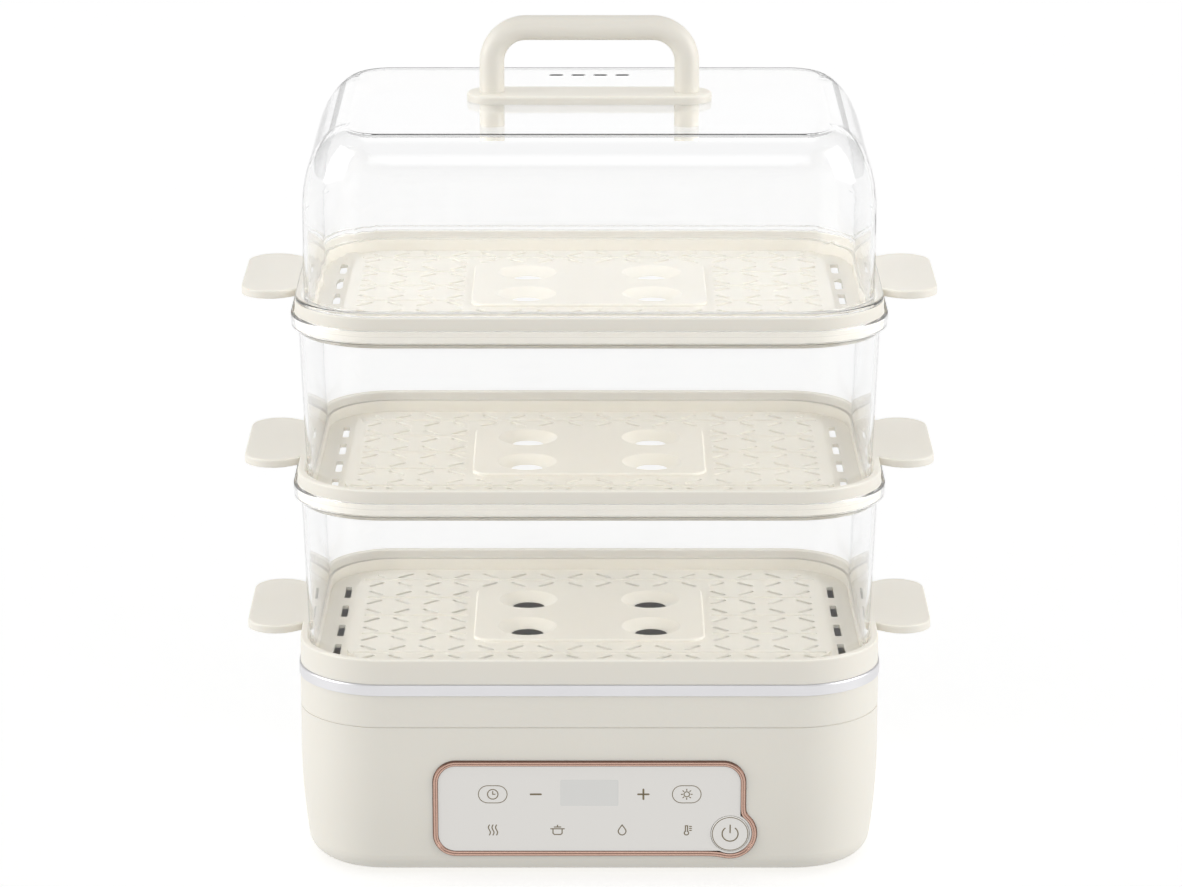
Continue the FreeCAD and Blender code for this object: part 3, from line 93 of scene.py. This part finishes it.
def link_lights(pieces):
    """Keep the softboxes off the floor, which the room lights evenly. The top ones also reach down through
    the stack, as in a tent of translucent cloth, but miss the handle and the pan under the trays, and the
    stronger one misses the highest tray too."""
    lit = bpy.data.collections.new("softbox_lit")
    lit_from_above = bpy.data.collections.new("top_light_lit")
    lit_low_down = bpy.data.collections.new("low_top_light_lit")
    blockers = bpy.data.collections.new("top_light_blockers")
    for piece in [*NODES.values(), *pieces]:
        lit.objects.link(piece)
        if piece.name not in ("water_pan", "handle_grip"):
            lit_from_above.objects.link(piece)
            if piece.name != "tray_3":
                lit_low_down.objects.link(piece)
        if not piece.name.startswith(("tray_", "clear_wall_", "lid_", "handle_", "boss_")):
            blockers.objects.link(piece)
    for name in ("left", "right", "front", "back"):
        bpy.data.objects[name].light_linking.receiver_collection = lit
    for name, receivers in (("top", lit_from_above), ("low_top", lit_low_down)):
        bpy.data.objects[name].light_linking.receiver_collection = receivers
        bpy.data.objects[name].light_linking.blocker_collection = blockers


def make_studio():
    """A pale floor, an even bright room and large softboxes."""
    world = bpy.data.worlds.new("studio")
    world.use_nodes = True
    background = world.node_tree.nodes["Background"]
    background.inputs["Color"].default_value = grey(1)
    background.inputs["Strength"].default_value = WORLD_STRENGTH
    bpy.context.scene.world = world
    middle = (0, 0, 0.2)
    area_light("left", (-2.4, -0.5, 0.95), middle, (1.8, 1.6), SIDE_POWER)
    area_light("right", (2.4, -0.5, 0.95), middle, (1.8, 1.6), SIDE_POWER)
    area_light("back", (0, 3.6, 1.3), (0, 0, 0.4), (4.0, 1.4), BACK_POWER)
    area_light("front", (0, -3.4, 1.3), middle, (2.6, 1.2), FRONT_POWER)
    area_light("top", (0, 0.1, 2.8), middle, (2.4, 2.0), TOP_POWER)
    area_light("low_top", (0, 0.1, 2.8), middle, (2.4, 2.0), LOW_TOP_POWER)
    floor_mesh = bpy.data.meshes.new("floor")
    corners = [(x * FLOOR_REACH, y * FLOOR_REACH, 0) for x, y in ((-1, -1), (1, -1), (1, 1), (-1, 1))]
    floor_mesh.from_pydata(corners, [], [(0, 1, 2, 3)])
    floor = bpy.data.objects.new("floor", floor_mesh)
    bpy.context.scene.collection.objects.link(floor)
    floor_mesh.materials.append(floor_material())
    floor.visible_diffuse = False
    bpy.context.scene.view_settings.view_transform = "Standard"


# ---------------------------------------------------------------- materials

def new_material(name):
    """A material with an empty tree but for a Principled shader; returns it, its tree and the shader."""
    material = bpy.data.materials.new(name)
    material.use_nodes = True
    tree = material.node_tree
    return material, tree, tree.nodes["Principled BSDF"]


def object_coordinates(tree, scale=(1, 1, 1)):
    """Object coordinates, scaled, so that grain sticks to the piece."""
    coordinates = tree.nodes.new("ShaderNodeTexCoord")
    mapping = tree.nodes.new("ShaderNodeMapping")
    mapping.inputs["Scale"].default_value = scale
    tree.links.new(coordinates.outputs["Object"], mapping.inputs["Vector"])
    return mapping.outputs["Vector"]


def noise(tree, vector, scale, detail=3.0, roughness=0.5):
    """A noise texture's value."""
    node = tree.nodes.new("ShaderNodeTexNoise")
    node.inputs["Scale"].default_value = scale
    node.inputs["Detail"].default_value = detail
    node.inputs["Roughness"].default_value = roughness
    tree.links.new(vector, node.inputs["Vector"])
    return node.outputs["Fac"]


def ramp(tree, value, low, high):
    """A colour or grey ramp between two ends."""
    node = tree.nodes.new("ShaderNodeValToRGB")
    node.color_ramp.elements[0].color = low
    node.color_ramp.elements[1].color = high
    tree.links.new(value, node.inputs["Fac"])
    return node.outputs["Color"]


def span(tree, value, low, high):
    """Map a 0 to 1 value to a range."""
    node = tree.nodes.new("ShaderNodeMapRange")
    node.inputs["To Min"].default_value = low
    node.inputs["To Max"].default_value = high
    tree.links.new(value, node.inputs["Value"])
    return node.outputs["Result"]


def bump(tree, shader, heights, distance):
    """Bump from one or more height values, chained, each with its own strength."""
    normal = None
    for height, strength in heights:
        node = tree.nodes.new("ShaderNodeBump")
        node.inputs["Strength"].default_value = strength
        node.inputs["Distance"].default_value = distance
        tree.links.new(height, node.inputs["Height"])
        if normal is not None:
            tree.links.new(normal, node.inputs["Normal"])
        normal = node.outputs["Normal"]
    tree.links.new(normal, shader.inputs["Normal"])


def grey(level):
    """An opaque grey."""
    return (level, level, level, 1)


def shade(colour, factor):
    """A colour made lighter or darker."""
    return tuple(channel * factor for channel in colour) + (1,)


def moulded_plastic(name, colour, roughness=0.42, variation=0.02, grain=0.05, soft=0.0):
    """Moulded plastic: faint cloudiness in the colour, fine spark-erosion grain, gently uneven gloss."""
    material, tree, shader = new_material(name)
    place = object_coordinates(tree)
    cloud = noise(tree, place, scale=22, detail=2)
    clouded = ramp(tree, cloud, shade(colour, 1 - variation), shade(colour, 1 + variation))
    tree.links.new(clouded, shader.inputs["Base Color"])
    gloss = span(tree, noise(tree, place, scale=60, detail=4), roughness - 0.04, roughness + 0.04)
    tree.links.new(gloss, shader.inputs["Roughness"])
    fine, broad = noise(tree, place, scale=2600, detail=2), noise(tree, place, scale=35, detail=2)
    bump(tree, shader, [(fine, grain), (broad, grain * 0.6)], distance=0.00012)
    shader.inputs["IOR"].default_value = 1.49
    if soft:
        shader.inputs["Subsurface Weight"].default_value = soft
        shader.inputs["Subsurface Radius"].default_value = (0.004, 0.0032, 0.0024)
        shader.inputs["Subsurface Scale"].default_value = 1.0
    return material


def clear_plastic():
    """Clear polished plastic with the faint waviness of a moulded wall."""
    material, tree, shader = new_material("clear_plastic")
    shader.inputs["Base Color"].default_value = (0.976, 0.977, 0.978, 1)
    shader.inputs["Transmission Weight"].default_value = 1
    shader.inputs["Roughness"].default_value = 0.015
    shader.inputs["IOR"].default_value = 1.46
    place = object_coordinates(tree)
    bump(tree, shader, [(noise(tree, place, scale=14, detail=1), 0.06)], distance=0.0004)
    return material


def brushed_metal(name, colour, roughness=0.3, grain_scale=(40, 40, 1500), strength=0.12):
    """Metal brushed along its length: streaks in the gloss and a fine grain."""
    material, tree, shader = new_material(name)
    streaks = noise(tree, object_coordinates(tree, grain_scale), scale=1, detail=4, roughness=0.6)
    cloud = noise(tree, object_coordinates(tree), scale=30, detail=2)
    tree.links.new(ramp(tree, cloud, shade(colour, 0.96), shade(colour, 1.03)), shader.inputs["Base Color"])
    tree.links.new(span(tree, streaks, roughness - 0.07, roughness + 0.07), shader.inputs["Roughness"])
    bump(tree, shader, [(streaks, strength)], distance=0.00005)
    shader.inputs["Metallic"].default_value = 1
    return material


def floor_material():
    """A matt pale sweep with a hardly visible mottle."""
    material, tree, shader = new_material("floor_paper")
    mottle = noise(tree, object_coordinates(tree), scale=3, detail=3)
    tree.links.new(ramp(tree, mottle, grey(0.93), grey(0.95)), shader.inputs["Base Color"])
    shader.inputs["Emission Color"].default_value = grey(1)
    shader.inputs["Emission Strength"].default_value = FLOOR_GLOW
    shader.inputs["Roughness"].default_value = 0.8
    shader.inputs["Specular IOR Level"].default_value = 0.2
    return material


def paint(names, material):
    """Give CAD nodes a material in every slot."""
    for name in names:
        mesh = NODES[name].data
        if not mesh.materials:
            mesh.materials.append(material)
        for slot in NODES[name].material_slots:
            slot.material = material


CREAM = (0.805, 0.774, 0.70)
CREAM_NODES = (
    "base_shell", "bottom_cover", "upper_trim_ring", "tray_1", "tray_2", "tray_3",
    "handle_grip", "handle_plate", "handle_boss_left", "handle_boss_right",
)
CLEAR_NODES = ("clear_wall_1", "clear_wall_2", "lid_shell")
FINE_GRAIN = (700, 700, 700)
POLISHED_GRAIN = (900, 900, 900)

# the other plastics: name, colour, roughness, variation, grain and the nodes that wear it
PLASTICS = (
    ("panel_gloss", (0.84, 0.82, 0.785), 0.34, 0.004, 0.004, ("panel_face", "power_button")),
    ("window_tint", (0.765, 0.76, 0.735), 0.16, 0.006, 0.003, ("display_window",)),
    ("grey_rubber", (0.16, 0.16, 0.16), 0.75, 0.06, 0.2, ("rubber_feet",)),
    ("seal_silicone", (0.72, 0.72, 0.70), 0.55, 0.03, 0.08, ("pan_seal", "boss_seals")),
    ("dark_moulding", (0.035, 0.035, 0.038), 0.45, 0.08, 0.12, (
        "inlet_socket", "thermostat", "relay", "smoothing_capacitor",
        "transformer_core", "display_module", "power_switch")),
    ("white_moulding", (0.78, 0.78, 0.75), 0.45, 0.02, 0.08, ("terminal_block", "panel_frame")),
    ("board_green", (0.03, 0.16, 0.07), 0.35, 0.12, 0.1, ("power_board", "control_board")),
    ("component_yellow", (0.72, 0.5, 0.06), 0.3, 0.05, 0.05, ("film_capacitor",)),
    ("lead_insulation", (0.55, 0.12, 0.08), 0.5, 0.05, 0.1, ("mains_leads", "heater_leads")),
    ("ribbon_grey", (0.42, 0.42, 0.44), 0.5, 0.05, 0.1, ("panel_ribbon",)),
)


def dress_nodes():
    """Materials for every CAD node, and the finer ring that stands for the bezel; returns that ring."""
    paint(CREAM_NODES, moulded_plastic("cream_plastic", CREAM, 0.40, 0.012, 0.05, soft=0.12))
    paint(CLEAR_NODES, clear_plastic())
    for name in CLEAR_NODES:
        NODES[name].visible_shadow = False
    paint(["water_pan"], brushed_metal("pan_steel", (0.74, 0.735, 0.75), 0.38, (60, 60, 2600)))
    rose_gold = brushed_metal("rose_gold", (0.56, 0.37, 0.30), 0.2, POLISHED_GRAIN, 0.05)
    paint(["panel_bezel"], rose_gold)
    # a dark copy of the rose gold: painted shade in the groove and painted dark reflection on the ring's
    # sides
    groove = brushed_metal("rose_gold_painted_shade", (0.17, 0.095, 0.07), 0.3, POLISHED_GRAIN, 0.05)
    ring = make_bezel(rose_gold, groove)
    alloy = brushed_metal("cast_alloy", (0.66, 0.66, 0.66), 0.5)
    paint(["heat_spreader", "temperature_sensor", "thermal_fuse"], alloy)
    steel = brushed_metal("plain_steel", (0.56, 0.56, 0.55), 0.34, FINE_GRAIN)
    paint(["cover_screws", "handle_screws", "sensor_bridge", "touch_springs", "heating_element"], steel)
    paint(["inlet_pins"], brushed_metal("contact_brass", (0.78, 0.62, 0.33), 0.28, FINE_GRAIN))
    for name, colour, roughness, variation, grain, nodes in PLASTICS:
        paint(nodes, moulded_plastic(name, colour, roughness, variation, grain))
    return ring


SHARP_ANGLE = math.radians(28)


def smooth_nodes():
    """Shade curved CAD faces smooth and keep true edges sharp."""
    for node in NODES.values():
        node.data.shade_smooth()
        node.data.set_sharp_from_angle(angle=SHARP_ANGLE)


# ---------------------------------------------------------------- bezel

PANEL_PLACE = Vector((0, -0.09955, 0.0385))
PANEL_TILT = math.radians(3.6)
PANEL_FRAME = Matrix.Translation(PANEL_PLACE) @ Matrix.Rotation(PANEL_TILT, 4, "X")
PANEL_HALF = (80.75, 26.5)
PANEL_CORNER = 12
BULGE_RADIUS = 14
BUTTON_CENTRE = (72.6, -13.9)


def panel_ring(inset):
    """The panel's outline drawn in by an inset: a round-cornered rectangle run together with the bulge."""
    half_x, half_y = PANEL_HALF[0] - inset, PANEL_HALF[1] - inset
    corner = PANEL_CORNER - inset
    centre_x, centre_y = BUTTON_CENTRE
    radius = BULGE_RADIUS - inset
    join_up = centre_y + math.sqrt(radius ** 2 - (half_x - centre_x) ** 2)
    join_across = centre_x - math.sqrt(radius ** 2 - (half_y + centre_y) ** 2)
    ring = run((half_x, join_up), (half_x, half_y - corner), 24)
    ring += sweep((half_x - corner, half_y - corner), corner, 0, 90, 24)
    ring += run((half_x - corner, half_y), (corner - half_x, half_y), 60)
    ring += sweep((corner - half_x, half_y - corner), corner, 90, 180, 24)
    ring += run((-half_x, half_y - corner), (-half_x, corner - half_y), 30)
    ring += sweep((corner - half_x, corner - half_y), corner, 180, 270, 24)
    ring += run((corner - half_x, -half_y), (join_across, -half_y), 60)
    first = math.degrees(math.atan2(-half_y - centre_y, join_across - centre_x))
    last = math.degrees(math.atan2(join_up - centre_y, half_x - centre_x))
    ring += sweep((centre_x, centre_y), radius, first, last, 72)
    return eased(ring)


def run(start, end, steps):
    """Even steps along a straight line, without its end."""
    return [Vector(start).lerp(Vector(end), step / steps) for step in range(steps)]


def sweep(centre, radius, first, last, steps):
    """Even steps along an arc between two angles in degrees, without its end."""
    angles = [math.radians(first + (last - first) * step / steps) for step in range(steps)]
    return [Vector((centre[0] + radius * math.cos(a), centre[1] + radius * math.sin(a))) for a in angles]


def eased(ring, passes=14):
    """Soften the two inward corners where the bulge leaves the rectangle."""
    for _ in range(passes):
        soft = list(ring)
        for index, spot in enumerate(ring):
            before, after = ring[index - 1], ring[(index + 1) % len(ring)]
            if (spot - before).angle_signed(after - spot, 0) > 0.02:
                soft[index] = spot.lerp((before + after) / 2, 0.9)
                for near in (index - 1, (index + 1) % len(ring)):
                    around = (ring[near - 1] + ring[(near + 1) % len(ring)]) / 2
                    soft[near] = ring[near].lerp(around, 0.6)
        ring = soft
    return ring


# the bezel's section, from the housing inwards: how far in, and how far in front of the face
BEZEL_SECTION = (
    (0.05, -2.5), (0.05, 0.1), (0.22, 0.5), (0.55, 0.78), (0.95, 0.85), (1.3, 0.72), (1.5, 0.5),
    (1.62, 0.42), (1.76, 0.5), (2.0, 0.58), (2.3, 0.52), (2.6, 0.34), (2.82, 0.1), (2.88, -2.5),
)
# bands in the dark rose gold, painted shade and painted dark reflection: outer side, groove, inner side,
# back
PAINTED_SHADE_BANDS = (0, 1, 2, 6, 7, 11, 12, 13)


def skin(mesh, loops):
    """Join closed loops of points into one closed ring; returns the faces band by band."""
    bands = []
    for outer, inner in zip(loops, loops[1:] + loops[:1]):
        band = []
        for index in range(len(outer)):
            after = (index + 1) % len(outer)
            band.append(mesh.faces.new((outer[index], outer[after], inner[after], inner[index])))
        bands.append(band)
    return bands


def make_bezel(material, painted_shade_material):
    """The polished ring round the panel: a full outer bead, a fine groove and a smaller inner bead."""
    rings = [panel_ring(inset) for inset, _ in BEZEL_SECTION]
    art = bmesh.new()
    loops = []
    for ring, (_, front) in zip(rings, BEZEL_SECTION):
        loops.append([art.verts.new(PANEL_FRAME @ Vector((x * MM, -front * MM, y * MM))) for x, y in ring])
    for band, faces in enumerate(skin(art, loops)):
        for face in faces:
            # painted shade and painted dark reflection: the listed bands take the dark rose gold
            face.material_index = int(band in PAINTED_SHADE_BANDS)
    bmesh.ops.recalc_face_normals(art, faces=art.faces)
    mesh = bpy.data.meshes.new("bezel_ring")
    art.to_mesh(mesh)
    art.free()
    mesh.shade_smooth()
    mesh.materials.append(material)
    mesh.materials.append(painted_shade_material)
    piece = bpy.data.objects.new("bezel_ring", mesh)
    bpy.context.scene.collection.objects.link(piece)
    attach(piece, "base")
    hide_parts("panel_bezel")
    return piece


# ---------------------------------------------------------------- panel prints

PRINT_THICKNESS = 0.04 * MM
BUTTON_FRONT = 0.4
KEY_COLUMNS = (-49.7, -16.4, 16.9, 50.1)
UPPER_ROW = 8.1
LOWER_ROW = -11.9


class Print:
    """Flat line art in the panel's plane, in millimetres, built up as thin raised ink."""

    def __init__(self, name, front=0.0):
        self.name = name
        self.front = front
        self.mesh = bmesh.new()

    def outline(self, points, lift):
        """Points of the panel's plane as vertices, lifted off the surface."""
        depth = self.front * MM + lift
        return [self.mesh.verts.new(PANEL_FRAME @ Vector((x * MM, -depth, y * MM))) for x, y in points]

    def polygon(self, points):
        """One filled outline."""
        ring = self.outline(points, PRINT_THICKNESS)
        back = self.outline(points, 0)
        self.mesh.faces.new(ring)
        self.mesh.faces.new(reversed(back))
        for index in range(len(ring)):
            after = (index + 1) % len(ring)
            self.mesh.faces.new((ring[index], back[index], back[after], ring[after]))

    def band(self, left, right):
        """A closed stroke between its two edges."""
        edges = ((left, PRINT_THICKNESS), (right, PRINT_THICKNESS), (right, 0), (left, 0))
        skin(self.mesh, [self.outline(edge, lift) for edge, lift in edges])

    def line(self, points, width, closed=False):
        """A stroke through points with mitred joints; open ends are round."""
        offset = width / 2
        spots = [Vector(point) for point in points]
        count = len(spots)
        left, right = [], []
        for index, spot in enumerate(spots):
            before = spots[(index - 1) % count] if closed or index else None
            after = spots[(index + 1) % count] if closed or index < count - 1 else None
            ways = []
            if before:
                ways.append((spot - before).normalized())
            if after:
                ways.append((after - spot).normalized())
            along = sum(ways, Vector((0, 0))).normalized()
            across = Vector((-along.y, along.x))
            spread = offset / max(0.35, across.dot(Vector((-ways[0].y, ways[0].x))))
            left.append(spot + across * spread)
            right.append(spot - across * spread)
        if closed:
            self.band(left, right)
            return
        start = (spots[0] - spots[1]).normalized()
        end = (spots[-1] - spots[-2]).normalized()
        outline = cap(spots[0], start, offset) + left[1:-1] + cap(spots[-1], end, offset) + right[-2:0:-1]
        self.polygon(outline)

    def arc(self, centre, radius, first, last, width, steps=24):
        """A stroke along a circle between two angles in degrees."""
        closed = abs(last - first) >= 360
        count = steps if closed else steps + 1
        angles = [math.radians(first + (last - first) * step / steps) for step in range(count)]
        points = [(centre[0] + radius * math.cos(a), centre[1] + radius * math.sin(a)) for a in angles]
        self.line(points, width, closed)

    def finish(self, body, material):
        """Make the object and let it ride."""
        bmesh.ops.recalc_face_normals(self.mesh, faces=self.mesh.faces)
        data = bpy.data.meshes.new(self.name)
        self.mesh.to_mesh(data)
        self.mesh.free()
        data.materials.append(material)
        piece = bpy.data.objects.new(self.name, data)
        bpy.context.scene.collection.objects.link(piece)
        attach(piece, body)
        return piece


def cap(centre, way, radius, steps=6):
    """A half circle about a stroke's end, from its left side to its right."""
    turn = math.atan2(way.y, way.x)
    angles = [turn + math.pi / 2 - math.pi * step / steps for step in range(steps + 1)]
    return [Vector((centre.x + radius * math.cos(a), centre.y + radius * math.sin(a))) for a in angles]


def pill(art, centre, width, height, line):
    """An outlined stadium."""
    half = (width - height) / 2
    points = []
    for sign, start in ((1, -90), (-1, 90)):
        for step in range(13):
            angle = math.radians(start + 180 * step / 12)
            points.append((
                centre[0] + sign * half + height / 2 * math.cos(angle),
                centre[1] + height / 2 * math.sin(angle)))
    art.line(points, line, closed=True)


def clock_icon(art, x, y, size, line):
    """A ring with two hands."""
    art.arc((x, y), size / 2, 0, 360, line)
    art.line([(x, y + size * 0.3), (x, y), (x + size * 0.22, y)], line)


def dial_icon(art, x, y, size, line):
    """A ring with short spokes, for choosing a programme."""
    art.arc((x, y), size * 0.26, 0, 360, line)
    for step in range(8):
        angle = math.radians(45 * step)
        near, far = size * 0.4, size * 0.52
        art.line([(x + near * math.cos(angle), y + near * math.sin(angle)),
                  (x + far * math.cos(angle), y + far * math.sin(angle))], line)


def steam_icon(art, x, y, size, line):
    """Three rising wavy lines."""
    for step in (-1, 0, 1):
        points = []
        for part in range(13):
            rise = part / 12
            sway = math.sin(rise * 2 * math.pi) * size * 0.09
            points.append((x + step * size * 0.33 + sway, y - size / 2 + rise * size))
        art.line(points, line)


def pot_icon(art, x, y, size, line):
    """A lidded pot with two handles."""
    half = size * 0.42
    brim, knee, foot = y + size * 0.12, y - size * 0.32, y - size * 0.45
    bowl = [(x - half, brim), (x - half, knee), (x - half * 0.7, foot)]
    bowl += [(x + half * 0.7, foot), (x + half, knee), (x + half, brim)]
    art.line(bowl, line)
    art.line([(x - size * 0.62, brim), (x + size * 0.62, brim)], line)
    art.line([(x - size * 0.3, y + size * 0.3), (x + size * 0.3, y + size * 0.3)], line)
    art.line([(x, y + size * 0.3), (x, y + size * 0.48)], line)


def flame_icon(art, x, y, size, line):
    """A drop-shaped flame."""
    points = []
    for step in range(24):
        angle = 2 * math.pi * step / 24
        rise = math.sin(angle)
        pinch = 1 if rise < 0 else (1 - rise) ** 0.6
        reach = 0.42 if rise < 0 else 0.58
        points.append((x + size * 0.36 * math.cos(angle) * pinch, y - size * 0.08 + size * reach * rise))
    art.line(points, line, closed=True)


def warm_icon(art, x, y, size, line):
    """A thermometer: a bulb below a stem."""
    art.arc((x, y - size * 0.3), size * 0.2, 120, 420, line)
    left, right = x - size * 0.1, x + size * 0.1
    bottom, top = y - size * 0.13, y + size * 0.42
    art.line([(left, bottom), (left, top), (right, top), (right, bottom)], line)
    for step in range(3):
        mark = y + size * (0.36 - 0.2 * step)
        art.line([(x + size * 0.28, mark), (x + size * 0.45, mark)], line)


def make_prints():
    """The generic key signs on the face, and the power sign and a painted gap shadow ring on its button;
    returns both pieces.
    """
    ink = moulded_plastic("icon_ink_and_gap_shadow", (0.19, 0.15, 0.085), 0.5, 0.04, 0.02)
    art = Print("key_icons")
    for x, icon in ((KEY_COLUMNS[0], clock_icon), (KEY_COLUMNS[3], dial_icon)):
        pill(art, (x, UPPER_ROW), 14.8, 9.6, line=0.4)
        icon(art, x, UPPER_ROW, size=5.4, line=0.5)
    for start, end in (((-30.2, UPPER_ROW), (-24.9, UPPER_ROW)), ((25.1, UPPER_ROW), (30.5, UPPER_ROW)),
                       ((27.8, UPPER_ROW - 2.7), (27.8, UPPER_ROW + 2.7))):
        art.line([start, end], width=0.95)
    for x, icon in zip(KEY_COLUMNS, (steam_icon, pot_icon, flame_icon, warm_icon)):
        icon(art, x, LOWER_ROW, size=5.6, line=0.55)
    icons = art.finish("base", ink)
    sign = Print("power_sign", BUTTON_FRONT)
    # painted shadow: this thin ring near the button's edge stands for the shade in the gap round the
    # button, drawn in ink
    sign.arc(BUTTON_CENTRE, 9.15, 0, 360, 0.4, 96)
    sign.arc(BUTTON_CENTRE, 4.1, 130, 410, 0.62, 40)
    across, up = BUTTON_CENTRE
    sign.line([(across, up + 0.6), (across, up + 4.9)], 0.62)
    return [icons, sign.finish("power_button", ink)]


make_camera()
make_studio()
bezel_ring = dress_nodes()
smooth_nodes()
link_lights([bezel_ring, *make_prints()])
